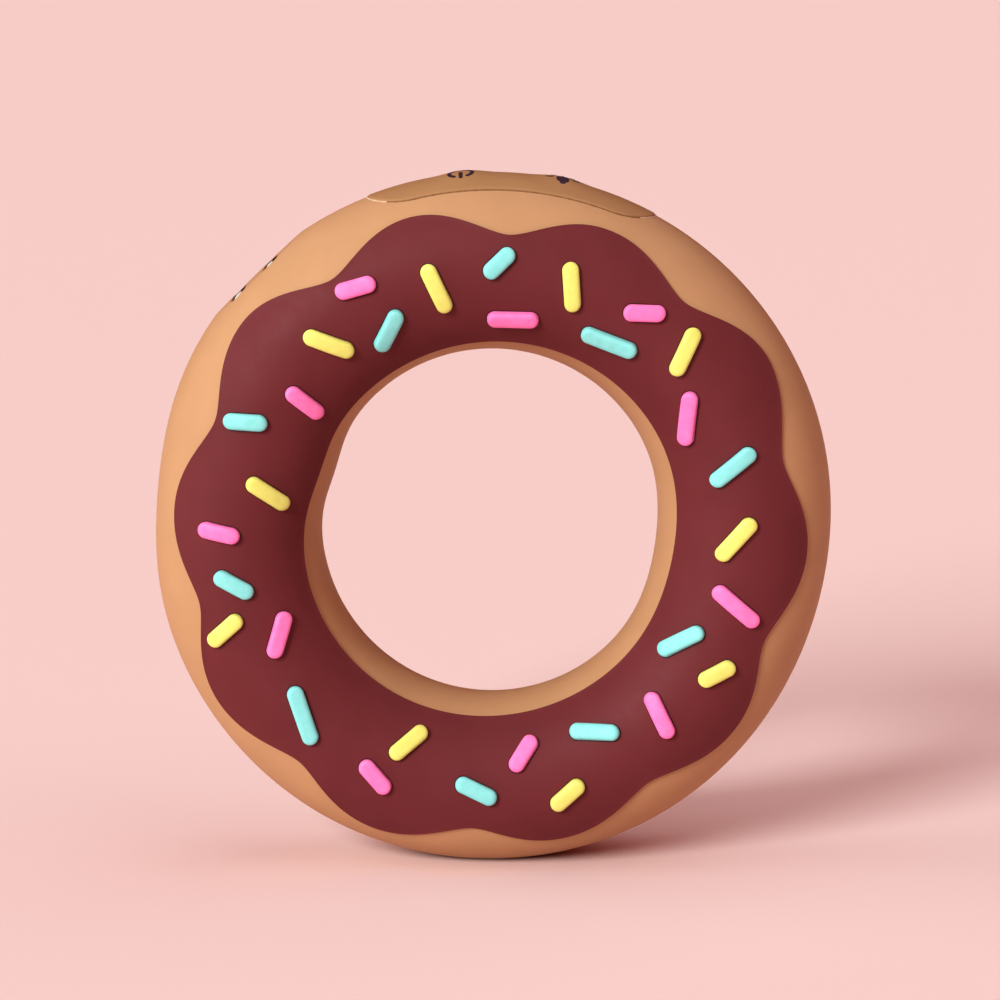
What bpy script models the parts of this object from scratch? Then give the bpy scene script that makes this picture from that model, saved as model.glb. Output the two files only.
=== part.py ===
"""Pocket power bank shaped like an iced ring doughnut, standing on its rim.

The ring stands in the XZ plane, with its iced face towards -Y and +Z up. The origin is the
centre of the small flat foot under the rim. Lengths are in millimetres until a mesh is made.

Two angles place a point on the ring. The clock angle runs round the ring from 0 at the top,
clockwise as seen from the front. The section angle runs round the ring's thickness: 0 on the
outer rim, 90 at the front, 180 in the throat of the hole and 270 at the back.
"""

import math
from collections import namedtuple

import bmesh
import bpy
from mathutils import Vector

MM = 0.001

# Ring
OUTER_RADIUS = 50.0
HOLE_RADIUS = 25.0
HALF_DEPTH = 13.0
RIM_STRETCH = 0.75
HOLE_STRETCH = 0.65
HOLE_DROP = 0.25
FOOT_DEPTH = 0.4

# Soft dents and bulges of the moulding: where they are, how far they spread, how deep they are
Swell = namedtuple("Swell", "clock spread height")
RIM_SWELLS = (Swell(107, 28, -0.55), Swell(212, 25, 0.2), Swell(276, 17, -0.9))
HOLE_SWELLS = (Swell(99, 25, -0.85), Swell(288, 13, -0.9))

# Icing: a thin skin in a shallow bed. Each lobe of its edge towards the rim has the section
# angle that it reaches, and the section angle of the valley that follows it clockwise
Lobe = namedtuple("Lobe", "clock section valley")
ICING_LOBES = (
    Lobe(21, 48, 66), Lobe(57, 44, 64.5), Lobe(94.5, 48, 66.5), Lobe(130, 50, 67.5),
    Lobe(166, 49, 67), Lobe(201.5, 45, 65), Lobe(238, 43, 63), Lobe(274.5, 44, 64),
    Lobe(311, 45, 66.5), Lobe(345.5, 47, 67.5),
)
LOBE_ROUNDNESS = 1.5
VALLEY_SOFTNESS = 0.15
ICING_HOLE_SECTION = 144
ICING_HOLE_SWAY = 3.5
ICING_HOLE_LONG_CLOCK = 150
ICING_RISE = 0.4
ICING_SINK = 0.2
ICING_LIP = 0.4
BED_DEPTH = 0.5
SEAM = 0.35

# Sprinkles: raised pills that follow the icing. The turn is 0 along the ring, 90 straight outwards
Sprinkle = namedtuple("Sprinkle", "clock reach turn length")
SPRINKLES = (
    Sprinkle(1.5, 39.2, 44, 5.4), Sprinkle(5.5, 31.4, 5, 7.5), Sprinkle(17.5, 37.6, 112, 7.0),
    Sprinkle(31, 32.6, 11, 8.5), Sprinkle(34, 38.7, 31, 6.0), Sprinkle(46, 38.2, 112, 7.3),
    Sprinkle(59, 32.8, 143, 8.2), Sprinkle(74, 35.9, 115, 7.8), Sprinkle(91, 35.1, 141, 7.8),
    Sprinkle(106.5, 36.6, 65, 8.2), Sprinkle(120, 31.7, 148, 7.6), Sprinkle(122, 38.2, 150, 5.8),
    Sprinkle(137.5, 35.9, 73, 7.2), Sprinkle(153, 32.9, 152, 7.4), Sprinkle(164, 39.7, 27, 6.0),
    Sprinkle(172, 32.9, 50, 6.0), Sprinkle(183.5, 37.7, 158, 6.5), Sprinkle(201.5, 33.2, 60, 6.7),
    Sprinkle(205.5, 39.3, 156, 6.0), Sprinkle(226, 38.0, 155, 9.0), Sprinkle(244.5, 34.1, 138, 7.0),
    Sprinkle(250, 40.8, 113, 6.4), Sprinkle(259, 37.8, 50, 6.2), Sprinkle(270.5, 39.1, 79, 6.2),
    Sprinkle(280.5, 32.8, 65, 7.3), Sprinkle(295, 38.8, 113, 6.2), Sprinkle(305.5, 33.0, 85, 6.6),
    Sprinkle(320, 36.2, 120, 7.5), Sprinkle(331.5, 40.5, 168, 6.0), Sprinkle(333.5, 33.1, 38, 6.8),
    Sprinkle(347.5, 36.5, 103, 7.4),
)
SPRINKLE_WIDTH = 2.5
SPRINKLE_RISE = 1.0
TIP_FULLNESS = 0.5

# Button panel: a stadium inlaid along the top of the rim, with two soft button domes
PANEL_CLOCK = 3.5
PANEL_LENGTH = 42.4
PANEL_WIDTH = 13.4
PANEL_RISE = 0.2
PANEL_SINK = 0.9
BUTTON_OFFSET = 7.0
BUTTON_RADIUS = 5.0
BUTTON_RISE = 0.4
POCKET_GAP = 0.3

# Charging sockets: two small sockets side by side on a flat cut into the rim
FACET_CLOCK = -44
FACET_DEPTH = 0.8
SOCKET_PITCH = 6.4
SOCKET_WIDTH = 2.6
SOCKET_SPAN = 8.4
SOCKET_DEPTH = 3.2
SOCKET_CORNER = 1.1
SOCKET_WALL = 0.25
SOCKET_INSET = 0.1
TONGUE_WIDTH = 0.8
TONGUE_SPAN = 6.0
TONGUE_OFFSET = -0.35
TONGUE_INSET = 0.3
TONGUE_GAP = 0.3

# Mesh fineness
CLOCK_STEPS = 80
BARE_SPANS = 17
ICING_SPANS = 7
SPRINKLE_SPANS = 2
PANEL_COLUMNS = 24
PANEL_ROWS = 6

SECTION_RADIUS = (HALF_DEPTH + (OUTER_RADIUS - HOLE_RADIUS) / 2) / 2
SEAM_ANGLE = math.degrees(SEAM / SECTION_RADIUS)
LIP_ANGLE = math.degrees(ICING_LIP / SECTION_RADIUS)


def clear_scene():
    for scene_object in list(bpy.data.objects):
        bpy.data.objects.remove(scene_object, do_unlink=True)


# Form of the ring

def swell_height(swells, clock):
    """Sum of the soft dents and bulges at a clock angle."""
    total = 0.0
    for swell in swells:
        away = (clock - swell.clock + 180) % 360 - 180
        total += swell.height * math.exp(-(away / swell.spread) ** 2)
    return total


def rim_radius(clock):
    upright = math.cos(math.radians(clock)) ** 2
    return OUTER_RADIUS + RIM_STRETCH * upright + swell_height(RIM_SWELLS, clock)


def hole_radius(clock):
    upward = math.cos(math.radians(clock))
    stretch = HOLE_STRETCH * upward ** 2 - HOLE_DROP * upward
    return HOLE_RADIUS + stretch + swell_height(HOLE_SWELLS, clock)


RING_HEIGHT = rim_radius(180) - FOOT_DEPTH


def ring_point(clock, section, lift=0.0):
    """Point at two angles on the ring, lifted off its surface by a length in millimetres."""
    middle = (rim_radius(clock) + hole_radius(clock)) / 2
    half_width = (rim_radius(clock) - hole_radius(clock)) / 2
    outward = math.cos(math.radians(section))
    forward = math.sin(math.radians(section))
    normal = Vector((outward / half_width, forward / HALF_DEPTH)).normalized()
    radius = middle + half_width * outward + lift * normal.x
    depth = HALF_DEPTH * forward + lift * normal.y
    turn = math.radians(clock)
    return Vector((radius * math.sin(turn), -depth, RING_HEIGHT + radius * math.cos(turn)))


def icing_rim_edge(clock):
    """Section angle of the icing's lobed edge: out at each lobe, in at the valley between two."""
    turn = clock % 360
    after = next((n for n, lobe in enumerate(ICING_LOBES) if lobe.clock > turn), 0)
    lobe_before = ICING_LOBES[after - 1]
    lobe_after = ICING_LOBES[after]
    span = (lobe_after.clock - lobe_before.clock) % 360
    share = ((turn - lobe_before.clock) % 360) / span
    reach = lobe_before.section + (lobe_after.section - lobe_before.section) * share
    swing = math.hypot(math.cos(math.pi * share), VALLEY_SOFTNESS) / math.hypot(1, VALLEY_SOFTNESS)
    return lobe_before.valley + (reach - lobe_before.valley) * swing ** LOBE_ROUNDNESS


def icing_hole_edge(clock):
    """Section angle of the icing's smooth, slightly oval edge towards the hole."""
    sway = math.cos(2 * math.radians(clock - ICING_HOLE_LONG_CLOCK))
    return ICING_HOLE_SECTION + ICING_HOLE_SWAY * sway


# Mesh helpers

def spread(first, last, spans):
    """Evenly spaced values from first to last, both included."""
    return [first + (last - first) * step / spans for step in range(spans + 1)]


def make_material(name, colour, roughness, metallic=0.0):
    material = bpy.data.materials.new(name)
    material.use_nodes = True
    shader = material.node_tree.nodes["Principled BSDF"]
    shader.inputs["Base Color"].default_value = (*colour, 1.0)
    shader.inputs["Roughness"].default_value = roughness
    shader.inputs["Metallic"].default_value = metallic
    material.diffuse_color = (*colour, 1.0)
    return material


def loft(name, rings, closed=False):
    """Object from rings of points in millimetres: joined end to end if closed, else capped."""
    mesh_builder = bmesh.new()
    rows = [[mesh_builder.verts.new(Vector(point) * MM) for point in ring] for ring in rings]
    pairs = list(zip(rows, rows[1:]))
    if closed:
        pairs.append((rows[-1], rows[0]))
    else:
        mesh_builder.faces.new(rows[0])
        mesh_builder.faces.new(rows[-1])
    for row, next_row in pairs:
        for n in range(len(row)):
            corners = (row[n - 1], row[n], next_row[n], next_row[n - 1])
            mesh_builder.faces.new(corners)
    bmesh.ops.triangulate(mesh_builder, faces=mesh_builder.faces)
    bmesh.ops.recalc_face_normals(mesh_builder, faces=mesh_builder.faces)
    mesh = bpy.data.meshes.new(name)
    mesh_builder.to_mesh(mesh)
    mesh_builder.free()
    piece = bpy.data.objects.new(name, mesh)
    bpy.context.scene.collection.objects.link(piece)
    return piece


def finish(piece, material, sharp_degrees=40):
    piece.data.materials.clear()
    piece.data.materials.append(material)
    piece.data.shade_smooth()
    piece.data.set_sharp_from_angle(angle=math.radians(sharp_degrees))


def make_collection(name):
    group = bpy.data.collections.new(name)
    bpy.context.scene.collection.children.link(group)
    return group


def move_to(group, piece):
    bpy.context.scene.collection.objects.unlink(piece)
    group.objects.link(piece)


def add_boolean(piece, group, operation):
    boolean = piece.modifiers.new(operation.lower(), "BOOLEAN")
    boolean.operation = operation
    boolean.operand_type = "COLLECTION"
    boolean.collection = group
    boolean.solver = "EXACT"
    return boolean


def apply_modifiers(piece):
    """Keep the shape that the modifiers give, as a plain mesh."""
    bpy.context.view_layer.update()
    depsgraph = bpy.context.evaluated_depsgraph_get()
    mesh = bpy.data.meshes.new_from_object(piece.evaluated_get(depsgraph))
    piece.modifiers.clear()
    piece.data = mesh


def box_rings(half_x, half_y, bottom, top):
    """Two rings of a box that is centred on the Z axis."""
    corners = ((-half_x, -half_y), (half_x, -half_y), (half_x, half_y), (-half_x, half_y))
    return [[(x, y, height) for x, y in corners] for height in (bottom, top)]


def rounded_outline(half_x, half_y, corner, steps=3):
    """Corner points of a rounded rectangle, anticlockwise."""
    outline = []
    for quarter in range(4):
        side_x = 1 if quarter in (0, 3) else -1
        side_y = 1 if quarter in (0, 1) else -1
        for turn in spread(90 * quarter, 90 * (quarter + 1), steps):
            x = side_x * (half_x - corner) + corner * math.cos(math.radians(turn))
            y = side_y * (half_y - corner) + corner * math.sin(math.radians(turn))
            outline.append((x, y))
    return outline


# Body

def body_section(clock):
    """Closed row round the body's thickness, with the bed that the icing lies in."""
    rim_edge = icing_rim_edge(clock) - SEAM_ANGLE
    hole_edge = icing_hole_edge(clock) + SEAM_ANGLE
    bed = [(section, -BED_DEPTH) for section in spread(rim_edge, hole_edge, ICING_SPANS)]
    bare = [(section, 0.0) for section in spread(hole_edge, rim_edge + 360, BARE_SPANS)]
    return [ring_point(clock, section, lift) for section, lift in bed + bare]


def clock_angles():
    return [360 * step / CLOCK_STEPS for step in range(CLOCK_STEPS)]


def add_body(cutters):
    body = loft("body", [body_section(clock) for clock in clock_angles()], closed=True)
    add_boolean(body, cutters, "DIFFERENCE")
    finish(body, make_material("tan_plastic", (0.58, 0.27, 0.13), 0.55))
    return body


def add_cutter(cutters, name, rings, parent=None):
    cutter = loft(name, rings)
    move_to(cutters, cutter)
    cutter.parent = parent
    cutter.hide_render = True
    cutter.display_type = "WIRE"
    return cutter


# Icing and sprinkles

def icing_section(clock):
    """Closed row round the icing skin, with a soft lip along each edge."""
    rim_edge = icing_rim_edge(clock)
    hole_edge = icing_hole_edge(clock)
    crown = spread(rim_edge + LIP_ANGLE, hole_edge - LIP_ANGLE, ICING_SPANS)
    lip_height = ICING_RISE / 4
    top = [(rim_edge, lip_height)] + [(section, ICING_RISE) for section in crown]
    top.append((hole_edge, lip_height))
    under = [(section, -ICING_SINK) for section in spread(hole_edge, rim_edge, ICING_SPANS)]
    return [ring_point(clock, section, lift) for section, lift in top + under]


def front_section(clock, reach):
    """Section angle at which the front of the ring lies this far from the ring's axis."""
    middle = (rim_radius(clock) + hole_radius(clock)) / 2
    half_width = (rim_radius(clock) - hole_radius(clock)) / 2
    return math.degrees(math.acos((reach - middle) / half_width))


def sprinkle_point(sprinkle, along, across, lift):
    """Point on the ring, measured from the middle of a sprinkle along and across its length."""
    turn = math.radians(sprinkle.turn)
    round_ring = along * math.cos(turn) - across * math.sin(turn)
    outwards = along * math.sin(turn) + across * math.cos(turn)
    clock = sprinkle.clock + math.degrees(round_ring / sprinkle.reach)
    section = front_section(sprinkle.clock, sprinkle.reach)
    return ring_point(clock, section - math.degrees(outwards / SECTION_RADIUS), lift)


def sprinkle_ring(sprinkle, along, fullness):
    """Arched row across a sprinkle: fullness is 1 along its straight part, less at its tips."""
    half_width = fullness * SPRINKLE_WIDTH / 2
    rise = fullness * SPRINKLE_RISE
    arch = (
        (-half_width, 0.0),
        (-0.75 * half_width, ICING_RISE + 0.7 * rise),
        (0.0, ICING_RISE + rise),
        (0.75 * half_width, ICING_RISE + 0.7 * rise),
        (half_width, 0.0),
    )
    return [sprinkle_point(sprinkle, along, across, lift) for across, lift in arch]


def add_sprinkle(group, number, sprinkle):
    half_length = sprinkle.length / 2
    shoulder = half_length - SPRINKLE_WIDTH / 4
    rings = [sprinkle_ring(sprinkle, -half_length, TIP_FULLNESS)]
    for along in spread(-shoulder, shoulder, SPRINKLE_SPANS):
        rings.append(sprinkle_ring(sprinkle, along, 1.0))
    rings.append(sprinkle_ring(sprinkle, half_length, TIP_FULLNESS))
    move_to(group, loft(f"sprinkle_{number}", rings))


def add_icing():
    """Icing with its sprinkles joined on."""
    icing = loft("icing", [icing_section(clock) for clock in clock_angles()], closed=True)
    group = make_collection("sprinkles")
    for number, sprinkle in enumerate(SPRINKLES, 1):
        add_sprinkle(group, number, sprinkle)
    add_boolean(icing, group, "UNION")
    apply_modifiers(icing)
    for piece in list(group.objects):
        bpy.data.objects.remove(piece, do_unlink=True)
    finish(icing, make_material("icing_plastic", (0.16, 0.04, 0.045), 0.5))
    return icing


# Button panel

def button_height(along, across):
    """Rise of the two button domes above the panel."""
    height = 0.0
    for centre in (-BUTTON_OFFSET, BUTTON_OFFSET):
        share = math.hypot(along - centre, across) / BUTTON_RADIUS
        if share < 1:
            height += BUTTON_RISE * (1 - share ** 2) ** 2
    return height


def panel_rings(margin, sink, rise, buttons):
    """Rings across the panel's stadium, one for each column along the rim."""
    half_length = PANEL_LENGTH / 2 + margin
    half_width = PANEL_WIDTH / 2 + margin
    rings = []
    for turn in spread(-84, 84, PANEL_COLUMNS):
        along = half_length * math.sin(math.radians(turn))
        past_straight = max(0.0, abs(along) - (half_length - half_width))
        half_row = math.sqrt(half_width ** 2 - past_straight ** 2)
        clock = PANEL_CLOCK + math.degrees(along / OUTER_RADIUS)
        top = []
        for across in spread(-half_row, half_row, PANEL_ROWS):
            section = math.degrees(across / SECTION_RADIUS)
            lift = rise + (button_height(along, across) if buttons else 0.0)
            top.append(ring_point(clock, section, lift))
        under = []
        for across in spread(half_row, -half_row, PANEL_ROWS):
            section = math.degrees(across / SECTION_RADIUS)
            under.append(ring_point(clock, section, -sink))
        rings.append(top + under)
    return rings


def add_button_panel():
    panel = loft("button_panel", panel_rings(0.0, PANEL_SINK, PANEL_RISE, buttons=True))
    finish(panel, make_material("panel_plastic", (0.45, 0.21, 0.09), 0.5))
    return panel


def add_panel_pocket(cutters):
    above_rim = 3.0
    rings = panel_rings(POCKET_GAP, PANEL_SINK + POCKET_GAP, above_rim, buttons=False)
    add_cutter(cutters, "panel_pocket", rings)


# Charging sockets

def add_facet_frame():
    """Empty in the middle of the flat on the rim: its Z axis points out, its X axis clockwise."""
    frame = bpy.data.objects.new("socket_facet", None)
    turn = math.radians(FACET_CLOCK)
    distance = rim_radius(FACET_CLOCK) - FACET_DEPTH
    height = RING_HEIGHT + distance * math.cos(turn)
    frame.location = Vector((distance * math.sin(turn), 0, height)) * MM
    frame.rotation_euler = (0, turn, 0)
    bpy.context.scene.collection.objects.link(frame)
    return frame


def outline_ring(outline, height, shift=0.0):
    return [(x + shift, y, height) for x, y in outline]


def add_socket(name, facet_frame, shift, shell_material, tongue_material):
    """Metal shell with an open mouth, and the tongue that stands inside it."""
    half_x = SOCKET_WIDTH / 2
    half_y = SOCKET_SPAN / 2
    outer = rounded_outline(half_x, half_y, SOCKET_CORNER)
    inner = rounded_outline(half_x - SOCKET_WALL, half_y - SOCKET_WALL, SOCKET_CORNER - SOCKET_WALL)
    floor = SOCKET_WALL - SOCKET_DEPTH
    shell = loft(f"{name}_shell", [
        outline_ring(outer, -SOCKET_DEPTH, shift),
        outline_ring(outer, -SOCKET_INSET, shift),
        outline_ring(inner, -SOCKET_INSET, shift),
        outline_ring(inner, floor, shift),
    ])
    shell.parent = facet_frame
    finish(shell, shell_material)
    tongue_rings = box_rings(TONGUE_WIDTH / 2, TONGUE_SPAN / 2, floor + TONGUE_GAP, -TONGUE_INSET)
    tongue = loft(f"{name}_tongue", [
        [(x + shift + TONGUE_OFFSET, y, z) for x, y, z in ring] for ring in tongue_rings
    ])
    tongue.parent = facet_frame
    finish(tongue, tongue_material)


def add_socket_pockets(cutters, facet_frame):
    """Flat on the rim, and the two pockets that the sockets sit in."""
    cut_reach = 20.0
    cut_height = 10.0
    add_cutter(cutters, "facet_cut", box_rings(cut_reach, cut_reach, 0.0, cut_height), facet_frame)
    outline = rounded_outline(
        SOCKET_WIDTH / 2 + POCKET_GAP, SOCKET_SPAN / 2 + POCKET_GAP, SOCKET_CORNER + POCKET_GAP)
    for name, shift in socket_places():
        rings = [
            outline_ring(outline, -SOCKET_DEPTH - POCKET_GAP, shift),
            outline_ring(outline, cut_height / 2, shift),
        ]
        add_cutter(cutters, f"{name}_pocket", rings, facet_frame)


def socket_places():
    """Name of each socket and its place along the flat, clockwise."""
    return (("lower_socket", -SOCKET_PITCH / 2), ("upper_socket", SOCKET_PITCH / 2))


def add_sockets(facet_frame):
    shell_material = make_material("socket_steel", (0.6, 0.6, 0.6), 0.3, metallic=1.0)
    tongue_material = make_material("socket_tongue", (0.85, 0.85, 0.83), 0.5)
    for name, shift in socket_places():
        add_socket(name, facet_frame, shift, shell_material, tongue_material)


def add_foot_cut(cutters):
    """Levels the lowest part of the rim, so the ring stands on a small flat foot."""
    cut_reach = 20.0
    add_cutter(cutters, "foot_cut", box_rings(cut_reach, cut_reach, -cut_reach, 0.0))


def main():
    clear_scene()
    cutters = make_collection("cutters")
    facet_frame = add_facet_frame()
    add_panel_pocket(cutters)
    add_socket_pockets(cutters, facet_frame)
    add_foot_cut(cutters)
    add_body(cutters)
    add_icing()
    add_button_panel()
    add_sockets(facet_frame)


main()
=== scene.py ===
"""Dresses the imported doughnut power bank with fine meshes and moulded-plastic materials.

The ring stands in the XZ plane, with its iced face towards -Y and +Z up. Lengths are in
millimetres until a mesh is made.

Two angles place a point on the ring. The clock angle runs round the ring from 0 at the top,
clockwise as seen from the front. The section angle runs round the ring's thickness: 0 on the
outer rim, 90 at the front, 180 in the throat of the hole and 270 at the back.
"""

import math
from collections import namedtuple

import bmesh
import bpy
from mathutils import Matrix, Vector, noise


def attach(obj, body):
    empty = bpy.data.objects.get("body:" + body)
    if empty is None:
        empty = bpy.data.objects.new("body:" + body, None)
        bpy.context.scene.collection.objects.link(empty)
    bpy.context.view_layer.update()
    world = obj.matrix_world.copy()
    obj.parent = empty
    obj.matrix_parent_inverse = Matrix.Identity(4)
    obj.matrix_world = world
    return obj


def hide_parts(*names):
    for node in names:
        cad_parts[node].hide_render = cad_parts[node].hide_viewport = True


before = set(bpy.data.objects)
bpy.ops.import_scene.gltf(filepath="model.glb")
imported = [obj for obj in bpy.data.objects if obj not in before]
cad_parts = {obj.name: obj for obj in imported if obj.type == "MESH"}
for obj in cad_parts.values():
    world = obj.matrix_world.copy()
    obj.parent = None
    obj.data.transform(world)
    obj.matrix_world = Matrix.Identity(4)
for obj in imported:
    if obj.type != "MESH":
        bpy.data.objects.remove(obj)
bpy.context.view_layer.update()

MM = 0.001

# Camera: aimed at the ring's middle from a little above
VIEW_DISTANCE = 600.0
VIEW_ELEVATION = 10.0
SENSOR_WIDTH = 36.0
LENS = 147.3
SHIFT_RIGHT = 0.008
SHIFT_UP = 0.0195
CLIP_START = 10.0
CLIP_END = 100000.0

# Light: suns so wide that their shadows stay soft. The azimuth is negative to the left of the
# camera, and the softness is the width of the sun in degrees
Sun = namedtuple("Sun", "name azimuth elevation softness strength colour")
SUNS = (
    Sun("key_light", -34, 25, 25, 3.5, (0.82, 1.0, 0.98)),
    Sun("left_light", -88, 24, 50, 1.15, (0.82, 1.0, 0.98)),
    Sun("top_light", 85, 64, 80, 1.05, (0.82, 1.0, 0.96)),
)
FILL_COLOUR = (1.0, 0.17, 0.19)
FILL_STRENGTH = 0.27
FLOOR_COLOUR = (0.94, 0.69, 0.67)
VIEW_GAMMA = 0.85
FLOOR_REACH = 10000.0
FLOOR_ROUGHNESS = 0.9
FLOOR_GLOSS = 0.1

# Moulded plastic: its waves, patches of sheen and sandy grain, and the part of a noise that is used
WAVE_HEIGHT = 0.03
SHEEN_SIZE = 1.5
SHEEN_SWAY = 0.05
SAND_SIZE = 0.28
NOISE_LOW = 0.3
NOISE_HIGH = 0.7

# Fineness of the meshes: steps round the ring, and spans along each stretch of an outline
BODY_STEPS = 360
BED_SPANS = 14
BARE_SPANS = 88
ICING_STEPS = 720
CROWN_SPANS = 40
UNDER_SPANS = 12
SPRINKLE_ARC_SPANS = 16
SPRINKLE_STRAIGHT_SPANS = 10
SPRINKLE_EDGE_SPANS = 12
PANEL_ARC_SPANS = 28
PANEL_STRAIGHT_SPANS = 42
PANEL_EDGE_SPANS = 5
PANEL_FLAT_SPANS = 20
SEAM_ARC_SPANS = 60
SEAM_STRAIGHT_SPANS = 160
SEAM_SIDES = 8
SYMBOL_ARC_SPANS = 24
TONGUE_CORNER_SPANS = 3

# Points closer than the join distance become one, and edges sharper than the angle stay crisp
JOIN_DISTANCE = 0.001
SHARP_DEGREES = 40

# Ring
OUTER_RADIUS = 50.0
HOLE_RADIUS = 25.0
HALF_DEPTH = 13.0
RIM_STRETCH = 0.75
HOLE_STRETCH = 0.65
HOLE_DROP = 0.25
FOOT_DEPTH = 0.4
CUTTER_REACH = 20.0
CUTTER_HEIGHT = 8.0

# Soft dents and bulges of the moulding: where they are, how far they spread, how deep they are
Swell = namedtuple("Swell", "clock spread height")
RIM_SWELLS = (Swell(107, 28, -0.55), Swell(212, 25, 0.2), Swell(276, 17, -0.9))
HOLE_SWELLS = (Swell(99, 25, -0.85), Swell(288, 13, -0.9))

# Icing: each lobe of its edge towards the rim has the section angle that it reaches, and the
# section angle of the valley that follows it clockwise
Lobe = namedtuple("Lobe", "clock section valley")
ICING_LOBES = (
    Lobe(21, 48, 66), Lobe(57, 44, 64.5), Lobe(94.5, 48, 66.5), Lobe(130, 50, 67.5),
    Lobe(166, 49, 67), Lobe(201.5, 45, 65), Lobe(238, 43, 63), Lobe(274.5, 44, 64),
    Lobe(311, 45, 66.5), Lobe(345.5, 47, 67.5),
)
LOBE_ROUNDNESS = 1.5
VALLEY_SOFTNESS = 0.15
ICING_HOLE_SECTION = 144
ICING_HOLE_SWAY = 3.5
ICING_HOLE_LONG_CLOCK = 150
ICING_RISE = 0.3
ICING_SINK = 0.2
ICING_WALL = 0.15
ICING_BEAD = 0.2
ICING_BEAD_FADE = 0.45
EDGE_STEPS = (0.0, 0.01, 0.04, 0.09, 0.15, 0.25, 0.4, 0.6, 0.85, 1.15, 1.5, 2.0)
BED_DEPTH = 0.5
BED_INSET = 0.15

# Sprinkles: raised pills that follow the icing's curve and look straight from the front. The turn
# is 0 along the ring and 90 straight outwards
Sprinkle = namedtuple("Sprinkle", "clock reach turn length")
SPRINKLES = {
    "pink": (
        Sprinkle(5.5, 31.4, 5, 7.5), Sprinkle(34, 38.7, 31, 6.0), Sprinkle(59, 32.8, 143, 8.2),
        Sprinkle(106.5, 36.6, 65, 8.2), Sprinkle(137.5, 35.9, 73, 7.2), Sprinkle(172, 32.9, 50, 6.0),
        Sprinkle(205.5, 39.3, 156, 6.0), Sprinkle(244.5, 34.1, 138, 7.0), Sprinkle(270.5, 39.1, 79, 6.2),
        Sprinkle(305.5, 33.0, 85, 6.6), Sprinkle(331.5, 40.5, 168, 6.0),
    ),
    "yellow": (
        Sprinkle(17.5, 37.6, 112, 7.0), Sprinkle(46, 38.2, 112, 7.3), Sprinkle(91, 35.1, 141, 7.8),
        Sprinkle(122, 38.2, 150, 5.8), Sprinkle(164, 39.7, 27, 6.0), Sprinkle(201.5, 33.2, 60, 6.7),
        Sprinkle(250, 40.8, 113, 6.4), Sprinkle(280.5, 32.8, 65, 7.3), Sprinkle(320, 36.2, 120, 7.5),
        Sprinkle(347.5, 36.5, 103, 7.4),
    ),
    "turquoise": (
        Sprinkle(1.5, 39.2, 44, 5.4), Sprinkle(31, 32.6, 11, 8.5), Sprinkle(74, 35.9, 115, 7.8),
        Sprinkle(120, 31.7, 148, 7.6), Sprinkle(153, 32.9, 152, 7.4), Sprinkle(183.5, 37.7, 158, 6.5),
        Sprinkle(226, 38.0, 155, 9.0), Sprinkle(259, 37.8, 50, 6.2), Sprinkle(295, 38.8, 113, 6.2),
        Sprinkle(333.5, 33.1, 38, 6.8),
    ),
}
SPRINKLE_COLOURS = {
    "pink": ((1.0, 0.21, 0.50), (1.0, 0.25, 0.55)),
    "yellow": ((0.77, 0.71, 0.18), (0.82, 0.76, 0.215)),
    "turquoise": ((0.265, 0.67, 0.65), (0.305, 0.72, 0.70)),
}
SPRINKLE_WIDTH = 2.42
SPRINKLE_RISE = 1.05
SPRINKLE_BASE = 0.15
SPRINKLE_SINK = 0.3
SPRINKLE_FULLNESS = 3.4

# Painted shade: a thin dark rim round the foot of each sprinkle, a little above the icing, stands in for the
# shadow each sprinkle casts on the icing
SHADE_RIM_WIDTH = 0.11
SHADE_RIM_LIFT = 0.02

# Button panel: a stadium inlaid along the top of the rim, with two soft button domes
PANEL_CLOCK = 3.5
PANEL_LENGTH = 42.4
PANEL_WIDTH = 13.4
PANEL_RISE = 0.2
PANEL_SINK = 0.9
PANEL_EDGE = 0.3
PANEL_CUTTER_TOP = 2.0
BUTTON_OFFSET = 7.0
BUTTON_RADIUS = 5.0
BUTTON_RISE = 0.4
SEAM_GAP = 0.2
SEAM_BEAD = 0.12
SEAM_SINK = 0.02
SEAM_WANDER_SIZE = 0.6
SEAM_WANDER_SHARE = 0.6
# Past this distance from the panel's middle the seam is pale: a painted highlight at its two ends
SEAM_HIGHLIGHT_FROM = 18.2

# Printed symbols, with their places measured from the middle of a button
INK_WIDTH = 0.55
POWER_SHIFT = 0.5
POWER_RING_MIDDLE = 1.3
POWER_RING_RADIUS = 1.65
POWER_RING_FIRST = 125
POWER_RING_LAST = 415
POWER_BAR = (1.4, 2.2, 3.1)
LAMP_BULB = (0.9, 1.4, 1.9)
LAMP_BULB_WIDTH = 1.8
LAMP_CAP = (-0.15, 0.0, 0.15)
LAMP_CAP_PLACE = 3.0
LAMP_CAP_WIDTH = 0.5
LAMP_RAY_TURNS = (0, -45, -90, -135, -180)
LAMP_RAY_MIDDLE = 1.0
LAMP_RAY = (1.6, 1.9, 2.2)
LAMP_RAY_WIDTH = 0.4
INK_RISE = 0.04
INK_SINK = 0.1
INK_SECTION = (
    (-1.0, -INK_SINK), (-1.0, INK_RISE), (-0.5, INK_RISE), (0.0, INK_RISE), (0.5, INK_RISE),
    (1.0, INK_RISE), (1.0, -INK_SINK), (0.0, -INK_SINK),
)
END_TURNS = tuple(math.radians(turn) for turn in (90, 70, 50, 30, 10))

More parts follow.
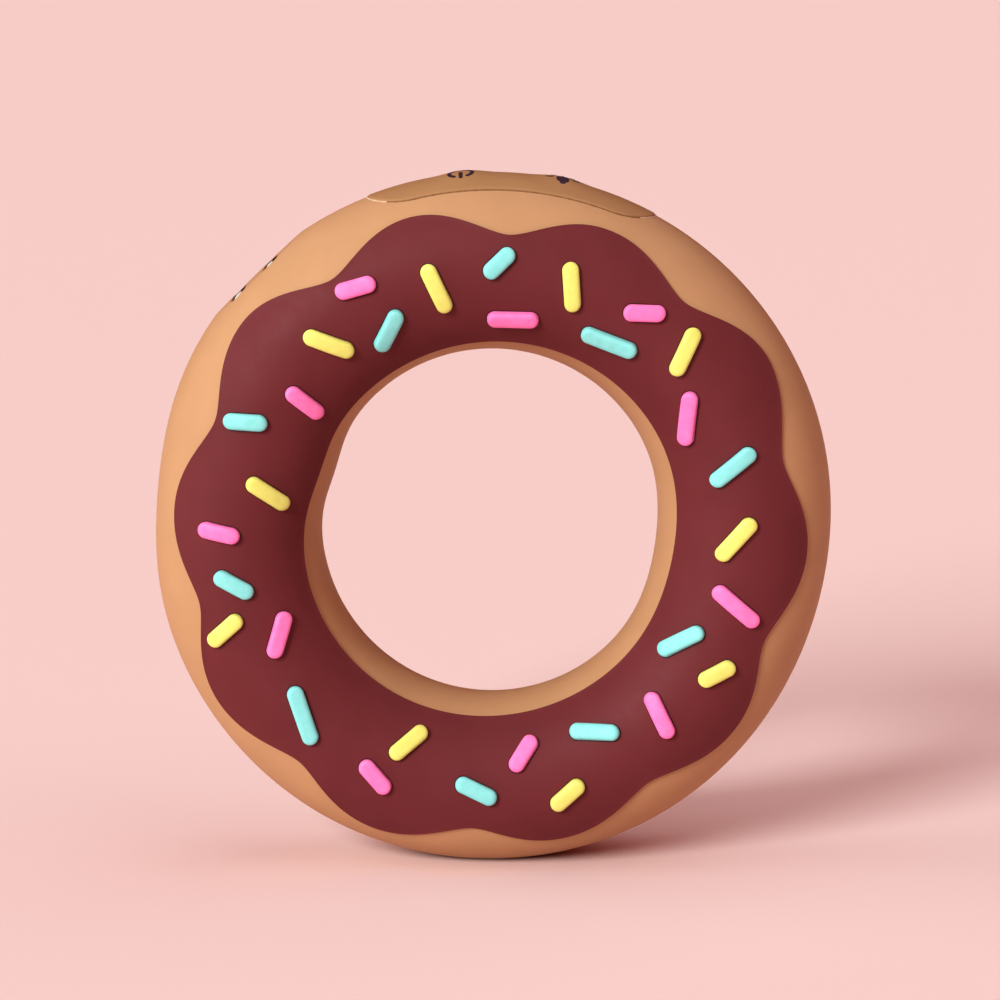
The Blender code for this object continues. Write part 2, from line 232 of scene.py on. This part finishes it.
# Charging sockets: two small sockets side by side on a flat cut into the rim
FACET_CLOCK = -44
FACET_DEPTH = 0.8
SOCKET_PITCH = 6.4
SOCKET_WIDTH = 2.6
SOCKET_SPAN = 8.4
SOCKET_DEPTH = 3.2
SOCKET_CORNER = 1.1
SOCKET_INSET = 0.1
SOCKET_LIP = 0.06
SLEEVE_WALL = 0.12
SOCKET_GAP = 0.15
TONGUE_WIDTH = 0.96
TONGUE_SPAN = 6.4
TONGUE_OFFSET = -0.46
TONGUE_INSET = 0.15
TONGUE_BEVEL = 0.08
TONGUE_CORNER = 0.15
LINER_WALL = 0.2

SECTION_RADIUS = (HALF_DEPTH + (OUTER_RADIUS - HOLE_RADIUS) / 2) / 2


# Form of the ring

def swell_height(swells, clock):
    """Sum of the soft dents and bulges at a clock angle."""
    total = 0.0
    for swell in swells:
        away = (clock - swell.clock + 180) % 360 - 180
        total += swell.height * math.exp(-(away / swell.spread) ** 2)
    return total


def rim_radius(clock):
    upright = math.cos(math.radians(clock)) ** 2
    return OUTER_RADIUS + RIM_STRETCH * upright + swell_height(RIM_SWELLS, clock)


def hole_radius(clock):
    upward = math.cos(math.radians(clock))
    stretch = HOLE_STRETCH * upward ** 2 - HOLE_DROP * upward
    return HOLE_RADIUS + stretch + swell_height(HOLE_SWELLS, clock)


def band(clock):
    """Distance of the band's middle from the ring's axis, and half of the band's width."""
    outer = rim_radius(clock)
    inner = hole_radius(clock)
    return (outer + inner) / 2, (outer - inner) / 2


RING_HEIGHT = rim_radius(180) - FOOT_DEPTH


def ring_point(clock, section, lift=0.0):
    """Point at two angles on the ring, lifted off its surface by a length in millimetres."""
    middle, half_width = band(clock)
    outward = math.cos(math.radians(section))
    forward = math.sin(math.radians(section))
    normal = Vector((outward / half_width, forward / HALF_DEPTH)).normalized()
    radius = middle + half_width * outward + lift * normal.x
    depth = HALF_DEPTH * forward + lift * normal.y
    turn = math.radians(clock)
    return Vector((radius * math.sin(turn), -depth, RING_HEIGHT + radius * math.cos(turn)))


def section_share(length):
    """Section angle that a length round the thickness covers."""
    return math.degrees(length / SECTION_RADIUS)


def icing_rim_edge(clock):
    """Section angle of the icing's lobed edge: out at each lobe, in at the valley between two."""
    turn = clock % 360
    after = next((n for n, lobe in enumerate(ICING_LOBES) if lobe.clock > turn), 0)
    lobe_before = ICING_LOBES[after - 1]
    lobe_after = ICING_LOBES[after]
    span = (lobe_after.clock - lobe_before.clock) % 360
    share = ((turn - lobe_before.clock) % 360) / span
    reach = lobe_before.section + (lobe_after.section - lobe_before.section) * share
    swing = math.hypot(math.cos(math.pi * share), VALLEY_SOFTNESS) / math.hypot(1, VALLEY_SOFTNESS)
    return lobe_before.valley + (reach - lobe_before.valley) * swing ** LOBE_ROUNDNESS


def icing_hole_edge(clock):
    """Section angle of the icing's smooth, slightly oval edge towards the hole."""
    sway = math.cos(2 * math.radians(clock - ICING_HOLE_LONG_CLOCK))
    return ICING_HOLE_SECTION + ICING_HOLE_SWAY * sway


# Mesh helpers

def spread(first, last, spans):
    """Evenly spaced values from first to last, both included."""
    return [first + (last - first) * step / spans for step in range(spans + 1)]


def square(reach):
    """Corners of a square round the origin, anticlockwise."""
    return [(reach * x, reach * y) for x, y in ((-1, -1), (1, -1), (1, 1), (-1, 1))]


def clock_angles(steps):
    return [360 * step / steps for step in range(steps)]


def add_rings(mesh_builder, rings, closed=False, capped=False):
    """Skin over rings of points in millimetres, all of the same count."""
    rows = [[mesh_builder.verts.new(Vector(point) * MM) for point in ring] for ring in rings]
    pairs = list(zip(rows, rows[1:]))
    if closed:
        pairs.append((rows[-1], rows[0]))
    if capped:
        mesh_builder.faces.new(rows[0])
        mesh_builder.faces.new(rows[-1])
    for row, next_row in pairs:
        for n in range(len(row)):
            mesh_builder.faces.new((row[n - 1], row[n], next_row[n], next_row[n - 1]))


def make_piece(name, mesh_builder):
    """Object from a mesh builder, with points that coincide joined and all faces outwards."""
    bmesh.ops.remove_doubles(mesh_builder, verts=mesh_builder.verts, dist=JOIN_DISTANCE * MM)
    bmesh.ops.recalc_face_normals(mesh_builder, faces=mesh_builder.faces)
    mesh = bpy.data.meshes.new(name)
    mesh_builder.to_mesh(mesh)
    mesh_builder.free()
    piece = bpy.data.objects.new(name, mesh)
    bpy.context.scene.collection.objects.link(piece)
    return piece


def loft(name, rings, closed=False, capped=False):
    mesh_builder = bmesh.new()
    add_rings(mesh_builder, rings, closed, capped)
    return make_piece(name, mesh_builder)


def cut_away(piece, cutters):
    """Takes the cutters out of the piece and deletes them."""
    for cutter in cutters:
        boolean = piece.modifiers.new("cut", "BOOLEAN")
        boolean.operation = "DIFFERENCE"
        boolean.object = cutter
        boolean.solver = "EXACT"
    bpy.context.view_layer.update()
    depsgraph = bpy.context.evaluated_depsgraph_get()
    mesh = bpy.data.meshes.new_from_object(piece.evaluated_get(depsgraph))
    piece.modifiers.clear()
    piece.data = mesh
    for cutter in cutters:
        bpy.data.objects.remove(cutter, do_unlink=True)


def dress(piece, material, nodes=()):
    """Finish of a piece: its material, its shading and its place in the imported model."""
    piece.data.materials.clear()
    piece.data.materials.append(material)
    piece.data.shade_smooth()
    piece.data.set_sharp_from_angle(angle=math.radians(SHARP_DEGREES))
    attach(piece, "root")
    if nodes:
        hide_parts(*nodes)


def stadium_ring(half_length, half_width, inset, arc_steps, straight_steps):
    """Outline of a stadium, drawn inwards by the inset; fully inset it is a line."""
    straight = half_length - half_width
    radius = half_width - inset
    ring = []
    for side in (1, -1):
        for turn in spread(-90, 90, arc_steps):
            along = straight + radius * math.cos(math.radians(turn))
            ring.append((side * along, side * radius * math.sin(math.radians(turn))))
        for along in spread(straight, -straight, straight_steps)[1:-1]:
            ring.append((side * along, side * radius))
    return ring


def rounded_outline(half_x, half_y, corner, steps=8):
    """Corner points of a rounded rectangle, anticlockwise."""
    outline = []
    for quarter in range(4):
        side_x = 1 if quarter in (0, 3) else -1
        side_y = 1 if quarter in (0, 1) else -1
        for turn in spread(90 * quarter, 90 * (quarter + 1), steps):
            x = side_x * (half_x - corner) + corner * math.cos(math.radians(turn))
            y = side_y * (half_y - corner) + corner * math.sin(math.radians(turn))
            outline.append((x, y))
    return outline


# Materials

def noise_value(nodes, links, place, size, detail=2.0):
    """Noise whose blotches are about this many millimetres across."""
    texture = nodes.new("ShaderNodeTexNoise")
    texture.inputs["Scale"].default_value = 1 / (size * MM)
    texture.inputs["Detail"].default_value = detail
    links.new(place.outputs["Object"], texture.inputs["Vector"])
    return texture.outputs["Fac"]


def mapped(nodes, links, value, low, high):
    """The middle of a noise stretched over a range."""
    stretch = nodes.new("ShaderNodeMapRange")
    stretch.inputs["From Min"].default_value = NOISE_LOW
    stretch.inputs["From Max"].default_value = NOISE_HIGH
    stretch.inputs["To Min"].default_value = low
    stretch.inputs["To Max"].default_value = high
    links.new(value, stretch.inputs["Value"])
    return stretch.outputs["Result"]


def bumped(nodes, links, value, height, below=None):
    """Bump of this many millimetres, on top of another one."""
    bump = nodes.new("ShaderNodeBump")
    bump.inputs["Distance"].default_value = height * MM
    links.new(value, bump.inputs["Height"])
    if below:
        links.new(below, bump.inputs["Normal"])
    return bump.outputs["Normal"]


def moulded_plastic(name, colour, tint, roughness, gloss=0.3, grain=0.012, mottle_size=6.0):
    """Matt soft plastic: sandy grain, soft waves, and colour that drifts a little."""
    material = bpy.data.materials.new(name)
    material.use_nodes = True
    nodes = material.node_tree.nodes
    links = material.node_tree.links
    shader = nodes["Principled BSDF"]
    shader.inputs["Specular IOR Level"].default_value = gloss
    place = nodes.new("ShaderNodeTexCoord")

    mottle = noise_value(nodes, links, place, mottle_size)
    mix = nodes.new("ShaderNodeMix")
    mix.data_type = "RGBA"
    mix.inputs["A"].default_value = (*colour, 1.0)
    mix.inputs["B"].default_value = (*tint, 1.0)
    links.new(mapped(nodes, links, mottle, 0.0, 1.0), mix.inputs["Factor"])
    links.new(mix.outputs["Result"], shader.inputs["Base Color"])

    sheen_patches = noise_value(nodes, links, place, SHEEN_SIZE, detail=4.0)
    rough = mapped(nodes, links, sheen_patches, roughness - SHEEN_SWAY, roughness + SHEEN_SWAY)
    links.new(rough, shader.inputs["Roughness"])

    waves = bumped(nodes, links, mottle, WAVE_HEIGHT)
    sand = noise_value(nodes, links, place, SAND_SIZE, detail=3.0)
    links.new(bumped(nodes, links, sand, grain, waves), shader.inputs["Normal"])
    material.diffuse_color = (*colour, 1.0)
    return material


# Camera, light and floor

def add_camera():
    elevation = math.radians(VIEW_ELEVATION)
    centre = Vector((0, 0, RING_HEIGHT))
    back = Vector((0, -math.cos(elevation), math.sin(elevation)))
    camera_data = bpy.data.cameras.new("camera")
    camera_data.sensor_width = SENSOR_WIDTH
    camera_data.lens = LENS
    camera_data.shift_x = SHIFT_RIGHT
    camera_data.shift_y = SHIFT_UP
    camera_data.clip_start = CLIP_START * MM
    camera_data.clip_end = CLIP_END * MM
    camera = bpy.data.objects.new("camera", camera_data)
    camera.location = (centre + back * VIEW_DISTANCE) * MM
    camera.rotation_euler = (math.radians(90 - VIEW_ELEVATION), 0, 0)
    bpy.context.scene.collection.objects.link(camera)
    bpy.context.scene.camera = camera


def light_direction(azimuth, elevation):
    turn = math.radians(azimuth)
    rise = math.radians(elevation)
    return Vector((math.sin(turn) * math.cos(rise), -math.cos(turn) * math.cos(rise), math.sin(rise)))


def add_light():
    """Soft key light from the front left, two weaker lights and a red glow from all round."""
    for sun in SUNS:
        data = bpy.data.lights.new(sun.name, "SUN")
        data.energy = sun.strength
        data.color = sun.colour
        data.angle = math.radians(sun.softness)
        light = bpy.data.objects.new(sun.name, data)
        light.rotation_mode = "QUATERNION"
        light.rotation_quaternion = light_direction(sun.azimuth, sun.elevation).to_track_quat("Z", "Y")
        bpy.context.scene.collection.objects.link(light)
    world = bpy.data.worlds.new("soft_fill")
    world.use_nodes = True
    background = world.node_tree.nodes["Background"]
    background.inputs["Color"].default_value = (*FILL_COLOUR, 1.0)
    background.inputs["Strength"].default_value = FILL_STRENGTH
    bpy.context.scene.world = world
    bpy.context.scene.view_settings.view_transform = "Standard"
    bpy.context.scene.view_settings.gamma = VIEW_GAMMA


def add_floor():
    mesh_builder = bmesh.new()
    points = [Vector((x, y, 0)) * MM for x, y in square(FLOOR_REACH)]
    mesh_builder.faces.new([mesh_builder.verts.new(point) for point in points])
    floor = make_piece("floor", mesh_builder)
    material = bpy.data.materials.new("floor_paper")
    material.use_nodes = True
    shader = material.node_tree.nodes["Principled BSDF"]
    shader.inputs["Base Color"].default_value = (*FLOOR_COLOUR, 1.0)
    shader.inputs["Roughness"].default_value = FLOOR_ROUGHNESS
    shader.inputs["Specular IOR Level"].default_value = FLOOR_GLOSS
    floor.data.materials.append(material)


# Body

def body_section(clock):
    """Closed row round the body's thickness, with the bed that the icing lies in."""
    rim_edge = icing_rim_edge(clock)
    hole_edge = icing_hole_edge(clock)
    inset = section_share(BED_INSET)
    bed = [(section, -BED_DEPTH) for section in spread(rim_edge + inset, hole_edge - inset, BED_SPANS)]
    round_the_back = spread(hole_edge - inset, rim_edge + inset + 360, BARE_SPANS)
    bare = [(section, 0.0) for section in round_the_back]
    return [ring_point(clock, section, lift) for section, lift in bed + bare]


def panel_point(along, across, lift):
    """Point on the rim, measured from the middle of the panel along and across its length."""
    clock = PANEL_CLOCK + math.degrees(along / OUTER_RADIUS)
    return ring_point(clock, section_share(across), lift)


def panel_outline(inset):
    """Outline of the panel, drawn inwards by the inset."""
    return stadium_ring(PANEL_LENGTH / 2, PANEL_WIDTH / 2, inset, PANEL_ARC_SPANS, PANEL_STRAIGHT_SPANS)


def panel_ring(inset, lift):
    """Row round the panel; the domes ride on the lift."""
    return [
        panel_point(along, across, lift + button_height(along, across))
        for along, across in panel_outline(inset)
    ]


def panel_cutter():
    outline = panel_outline(-SEAM_GAP)
    middle = panel_outline(PANEL_WIDTH / 2)
    floor = -PANEL_SINK - SEAM_GAP
    top = PANEL_CUTTER_TOP
    rings = [(middle, floor), (outline, floor), (outline, top), (middle, top)]
    return loft("panel_cutter", [
        [panel_point(along, across, lift) for along, across in ring] for ring, lift in rings
    ])


def facet_point(x, y, z):
    """Point on the flat that the sockets sit in: x runs clockwise, z outwards."""
    turn = math.radians(FACET_CLOCK)
    clockwise = Vector((math.cos(turn), 0, -math.sin(turn)))
    outward = Vector((math.sin(turn), 0, math.cos(turn)))
    middle = Vector((0, 0, RING_HEIGHT)) + outward * (rim_radius(FACET_CLOCK) - FACET_DEPTH)
    return middle + clockwise * x + Vector((0, y, 0)) + outward * z


def facet_ring(outline, height, shift=0.0):
    return [facet_point(x + shift, y, height) for x, y in outline]


def socket_cutters():
    plate = square(CUTTER_REACH)
    facet_rings = [facet_ring(plate, 0), facet_ring(plate, CUTTER_HEIGHT)]
    cutters = [loft("facet_cutter", facet_rings, capped=True)]
    floor = -SOCKET_DEPTH - SOCKET_GAP
    outline = rounded_outline(
        SOCKET_WIDTH / 2 + SOCKET_GAP, SOCKET_SPAN / 2 + SOCKET_GAP, SOCKET_CORNER + SOCKET_GAP)
    for name, shift in socket_places():
        rings = [facet_ring(outline, height, shift) for height in (floor, CUTTER_HEIGHT / 2)]
        cutters.append(loft(f"{name}_cutter", rings, capped=True))
    return cutters


def foot_cutter():
    plate = square(CUTTER_REACH)
    rings = [[(x, y, height) for x, y in plate] for height in (-CUTTER_REACH, 0.0)]
    return loft("foot_cutter", rings, capped=True)


def add_body():
    body = loft("dough_ring", [body_section(clock) for clock in clock_angles(BODY_STEPS)], closed=True)
    cut_away(body, [panel_cutter(), foot_cutter(), *socket_cutters()])
    material = moulded_plastic("tan_plastic", (0.52, 0.28, 0.148), (0.545, 0.294, 0.158), 0.6, gloss=0.18)
    dress(body, material, ["body"])


# Icing and sprinkles

def icing_lift(from_edge):
    """Height of the icing at a distance from its edge: a soft bead that fades inwards."""
    crown = ICING_RISE + ICING_BEAD * math.exp(-from_edge / ICING_BEAD_FADE)
    wall = 1 - max(0.0, 1 - from_edge / ICING_WALL) ** 2
    return crown * math.sqrt(wall)


def icing_section(clock):
    """Closed row round the icing skin, with a soft bead along each edge."""
    rim_edge = icing_rim_edge(clock)
    hole_edge = icing_hole_edge(clock)
    inner = section_share(EDGE_STEPS[-1])
    rim_lip = [(rim_edge + section_share(step), icing_lift(step)) for step in EDGE_STEPS]
    hole_lip = [(hole_edge - section_share(step), icing_lift(step)) for step in reversed(EDGE_STEPS)]
    between_lips = spread(rim_edge + inner, hole_edge - inner, CROWN_SPANS)[1:-1]
    crown = [(section, ICING_RISE) for section in between_lips]
    under = [(section, -ICING_SINK) for section in spread(hole_edge, rim_edge, UNDER_SPANS)]
    row = rim_lip + crown + hole_lip + under
    return [ring_point(clock, section, lift) for section, lift in row]


def add_icing():
    icing = loft("icing_skin", [icing_section(clock) for clock in clock_angles(ICING_STEPS)], closed=True)
    material = moulded_plastic(
        "icing_plastic", (0.166, 0.029, 0.033), (0.178, 0.032, 0.037), 0.58, gloss=0.15)
    dress(icing, material, ["icing"])


def front_section(clock, reach):
    """Section angle at which the front of the ring lies this far from the ring's axis."""
    middle, half_width = band(clock)
    return math.degrees(math.acos((reach - middle) / half_width))


def front_reach(clock, section):
    """Distance from the ring's axis to its front at a section angle."""
    middle, half_width = band(clock)
    return middle + half_width * math.cos(math.radians(section))


def sprinkle_point(sprinkle, along, across, lift):
    """Point on the ring, measured from the middle of a sprinkle that looks straight from the front."""
    turn = math.radians(sprinkle.turn)
    sideways = along * math.cos(turn) - across * math.sin(turn)
    outwards = along * math.sin(turn) + across * math.cos(turn)
    middle_section = front_section(sprinkle.clock, sprinkle.reach)
    reach = front_reach(sprinkle.clock, middle_section - section_share(outwards))
    clock = sprinkle.clock + math.degrees(math.atan2(sideways, reach))
    return ring_point(clock, front_section(clock, math.hypot(sideways, reach)), lift)


def sprinkle_profile():
    """Insets and heights of a pill, from the middle of its underside round its edge to the top."""
    half_width = SPRINKLE_WIDTH / 2
    bottom = ICING_RISE - SPRINKLE_SINK
    height = SPRINKLE_RISE - SPRINKLE_BASE
    profile = [(half_width, bottom), (0.0, bottom)]
    for turn in spread(0, 90, SPRINKLE_EDGE_SPANS):
        inset = half_width * (1 - math.cos(math.radians(turn)) ** (2 / SPRINKLE_FULLNESS))
        rise = height * math.sin(math.radians(turn)) ** (2 / SPRINKLE_FULLNESS)
        profile.append((inset, ICING_RISE + SPRINKLE_BASE + rise))
    return profile


def painted_shade_profile():
    """Insets and heights of the thin dark rim of painted shade round the foot of a sprinkle."""
    half_width = SPRINKLE_WIDTH / 2
    bottom = ICING_RISE - SPRINKLE_SINK
    top = ICING_RISE + SHADE_RIM_LIFT
    return [(half_width, bottom), (-SHADE_RIM_WIDTH, bottom), (-SHADE_RIM_WIDTH, top), (half_width, top)]


def sprinkle_rings(sprinkle, profile):
    """Rows of points of a profile that runs round a sprinkle."""
    rings = []
    for inset, lift in profile:
        outline = stadium_ring(
            sprinkle.length / 2, SPRINKLE_WIDTH / 2, inset, SPRINKLE_ARC_SPANS, SPRINKLE_STRAIGHT_SPANS)
        rings.append([sprinkle_point(sprinkle, along, across, lift) for along, across in outline])
    return rings


def add_painted_shade_rims():
    """Dark rims of painted shade round the feet of all the sprinkles, in one piece."""
    mesh_builder = bmesh.new()
    for sprinkles in SPRINKLES.values():
        for sprinkle in sprinkles:
            add_rings(mesh_builder, sprinkle_rings(sprinkle, painted_shade_profile()))
    piece = make_piece("sprinkle_painted_shade", mesh_builder)
    # Near-black colour of the rims: painted shade for the sprinkles' shadows on the icing
    material = moulded_plastic("painted_sprinkle_shade", (0.035, 0.006, 0.007), (0.04, 0.007, 0.008), 0.7, gloss=0.1)
    dress(piece, material, ["icing"])


def add_sprinkles():
    for colour, sprinkles in SPRINKLES.items():
        mesh_builder = bmesh.new()
        for sprinkle in sprinkles:
            add_rings(mesh_builder, sprinkle_rings(sprinkle, sprinkle_profile()))
        piece = make_piece(f"sprinkles_{colour}", mesh_builder)
        base, tint = SPRINKLE_COLOURS[colour]
        material = moulded_plastic(f"sprinkle_{colour}", base, tint, 0.5, grain=0.02, mottle_size=1.2)
        dress(piece, material, ["icing"])


# Button panel

def button_height(along, across):
    """Rise of the two button domes above the panel."""
    height = 0.0
    for centre in (-BUTTON_OFFSET, BUTTON_OFFSET):
        share = math.hypot(along - centre, across) / BUTTON_RADIUS
        if share < 1:
            height += BUTTON_RISE * (1 - share ** 2) ** 2
    return height


def add_button_panel():
    half_width = PANEL_WIDTH / 2
    rings = [panel_ring(half_width, -PANEL_SINK), panel_ring(half_width / 2, -PANEL_SINK)]
    rings.append(panel_ring(0.0, -PANEL_SINK))
    for turn in spread(0, 90, PANEL_EDGE_SPANS):
        inset = PANEL_EDGE * (1 - math.cos(math.radians(turn)))
        rings.append(panel_ring(inset, PANEL_RISE - PANEL_EDGE * (1 - math.sin(math.radians(turn)))))
    for inset in spread(PANEL_EDGE, half_width, PANEL_FLAT_SPANS)[1:]:
        rings.append(panel_ring(inset, PANEL_RISE))
    panel = loft("button_panel_skin", rings)
    material = moulded_plastic(
        "panel_plastic", (0.405, 0.208, 0.098), (0.425, 0.22, 0.105), 0.6, gloss=0.18, grain=0.02)
    dress(panel, material, ["button_panel"])


def add_seam():
    """Ragged bead of glue in the joint round the panel; near the two ends it is pale, a painted highlight.
    """
    outline = stadium_ring(
        PANEL_LENGTH / 2, PANEL_WIDTH / 2, -SEAM_GAP / 2, SEAM_ARC_SPANS, SEAM_STRAIGHT_SPANS)
    straight = (PANEL_LENGTH - PANEL_WIDTH) / 2
    rings = []
    for along, across in outline:
        wander = noise.noise(Vector((along, across, 0.0)) / SEAM_WANDER_SIZE)
        radius = SEAM_BEAD * (1 + SEAM_WANDER_SHARE * wander)
        outward = Vector((along - max(-straight, min(straight, along)), across)).normalized()
        ring = []
        for turn in spread(0, 360, SEAM_SIDES)[:-1]:
            side = radius * math.cos(math.radians(turn))
            up = radius * math.sin(math.radians(turn)) - SEAM_SINK
            ring.append(panel_point(along + side * outward.x, across + side * outward.y, up))
        rings.append(ring)
    seam = loft("panel_seam", rings, closed=True)
    brown = moulded_plastic("seam_glue", (0.22, 0.10, 0.04), (0.30, 0.145, 0.06), 0.6, mottle_size=0.8)
    dress(seam, brown)
    # Pale colour for the seam's two ends: a painted highlight
    pale = moulded_plastic("seam_painted_highlight", (0.75, 0.55, 0.42), (0.60, 0.38, 0.24), 0.5, mottle_size=0.8)
    seam.data.materials.append(pale)
    middle = panel_point(0, 0, 0).x
    for face in seam.data.polygons:
        if abs(face.center.x / MM - middle) > SEAM_HIGHLIGHT_FROM:
            face.material_index = 1


# Printed symbols

def add_stroke(mesh_builder, centre, path, width=INK_WIDTH):
    """Stroke of ink with round ends along a path of points, measured from a button's middle."""
    half = width / 2
    points = [Vector(point) for point in path]
    start_way = (points[0] - points[1]).normalized()
    end_way = (points[-1] - points[-2]).normalized()
    rows = [(points[0] + start_way * half * math.sin(turn), start_way, half * math.cos(turn))
            for turn in END_TURNS]
    for before, point, after in zip(points, points[1:], points[2:]):
        rows.append((point, (before - after).normalized(), half))
    rows.extend((points[-1] + end_way * half * math.sin(turn), -end_way, half * math.cos(turn))
                for turn in reversed(END_TURNS))
    rings = []
    for middle, way, reach in rows:
        side = Vector((-way.y, way.x)) * reach
        ring = []
        for share, lift in INK_SECTION:
            place = middle + side * share
            along = centre + place.x
            height = PANEL_RISE + button_height(along, place.y) + lift
            ring.append(panel_point(along, place.y, height))
        rings.append(ring)
    add_rings(mesh_builder, rings)


def arc_path(middle, radius, first, last):
    """Points on a circle; 0 degrees is clockwise round the ring and 90 towards the front."""
    points = []
    for turn in spread(first, last, SYMBOL_ARC_SPANS):
        angle = math.radians(turn)
        points.append((middle[0] + radius * math.cos(angle), middle[1] + radius * math.sin(angle)))
    return points


def add_power_symbol(mesh_builder):
    middle = (-POWER_SHIFT, POWER_RING_MIDDLE)
    ring = arc_path(middle, POWER_RING_RADIUS, POWER_RING_FIRST, POWER_RING_LAST)
    add_stroke(mesh_builder, -BUTTON_OFFSET, ring)
    add_stroke(mesh_builder, -BUTTON_OFFSET, [(-POWER_SHIFT, place) for place in POWER_BAR])


def add_lamp_symbol(mesh_builder):
    bulb = [(0.0, place) for place in LAMP_BULB]
    add_stroke(mesh_builder, BUTTON_OFFSET, bulb, LAMP_BULB_WIDTH)
    cap = [(place, LAMP_CAP_PLACE) for place in LAMP_CAP]
    add_stroke(mesh_builder, BUTTON_OFFSET, cap, LAMP_CAP_WIDTH)
    for turn in LAMP_RAY_TURNS:
        angle = math.radians(turn)
        ray = [
            (reach * math.cos(angle), LAMP_RAY_MIDDLE + reach * math.sin(angle)) for reach in LAMP_RAY
        ]
        add_stroke(mesh_builder, BUTTON_OFFSET, ray, LAMP_RAY_WIDTH)


def add_symbols():
    mesh_builder = bmesh.new()
    add_power_symbol(mesh_builder)
    add_lamp_symbol(mesh_builder)
    symbols = make_piece("printed_symbols", mesh_builder)
    material = moulded_plastic("dark_print", (0.035, 0.018, 0.03), (0.05, 0.025, 0.045), 0.5)
    dress(symbols, material)


# Charging sockets

def socket_places():
    """Name of each socket and its place along the flat, clockwise."""
    return (("lower_socket", -SOCKET_PITCH / 2), ("upper_socket", SOCKET_PITCH / 2))


def brushed_steel():
    material = moulded_plastic("socket_steel", (0.72, 0.72, 0.71), (0.80, 0.80, 0.79), 0.28, grain=0.004)
    material.node_tree.nodes["Principled BSDF"].inputs["Metallic"].default_value = 1.0
    return material


def socket_sleeve(name, shift, profile):
    """Closed cup in a socket: each step of the profile has an inset and a height."""
    rings = []
    for inset, height in profile:
        outline = rounded_outline(
            SOCKET_WIDTH / 2 - inset, SOCKET_SPAN / 2 - inset, SOCKET_CORNER - inset)
        rings.append(facet_ring(outline, height, shift))
    return loft(name, rings, capped=True)


def add_sockets():
    """Steel sleeve of each socket, its black liner, whose black is painted shade for the socket's dark
    mouth, and its pale tongue.
    """
    steel = brushed_steel()
    # Near-black liner: painted shade for the dark mouth of each socket
    liner_shade_plastic = moulded_plastic("liner_painted_shade", (0.012, 0.006, 0.006), (0.02, 0.01, 0.01), 0.7, gloss=0.1)
    tongue_plastic = moulded_plastic("tongue_white", (0.85, 0.85, 0.83), (0.9, 0.9, 0.88), 0.45)
    mouth = -SOCKET_INSET
    floor = SLEEVE_WALL - SOCKET_DEPTH
    liner_inset = SLEEVE_WALL + LINER_WALL
    tongue_profile = (
        (0.0, floor), (0.0, -TONGUE_INSET - TONGUE_BEVEL), (TONGUE_BEVEL, -TONGUE_INSET),
    )
    for name, shift in socket_places():
        shell = socket_sleeve(f"{name}_steel", shift, (
            (0.0, -SOCKET_DEPTH), (0.0, mouth - SOCKET_LIP), (SOCKET_LIP / 3, mouth - SOCKET_LIP / 3),
            (SOCKET_LIP, mouth), (SLEEVE_WALL, mouth), (SLEEVE_WALL, floor),
        ))
        dress(shell, steel, [f"{name}_shell"])
        liner = socket_sleeve(f"{name}_liner", shift, (
            (SLEEVE_WALL, floor), (SLEEVE_WALL, mouth), (liner_inset, mouth),
            (liner_inset, floor + LINER_WALL),
        ))
        dress(liner, liner_shade_plastic)
        tongue_rings = []
        for inset, height in tongue_profile:
            ring = rounded_outline(
                TONGUE_WIDTH / 2 - inset, TONGUE_SPAN / 2 - inset, TONGUE_CORNER, TONGUE_CORNER_SPANS)
            tongue_rings.append(facet_ring(ring, height, shift + TONGUE_OFFSET))
        tongue = loft(f"{name}_blade", tongue_rings, capped=True)
        dress(tongue, tongue_plastic, [f"{name}_tongue"])


add_camera()
add_light()
add_floor()
add_body()
add_icing()
add_painted_shade_rims()
add_sprinkles()
add_button_panel()
add_seam()
add_symbols()
add_sockets()
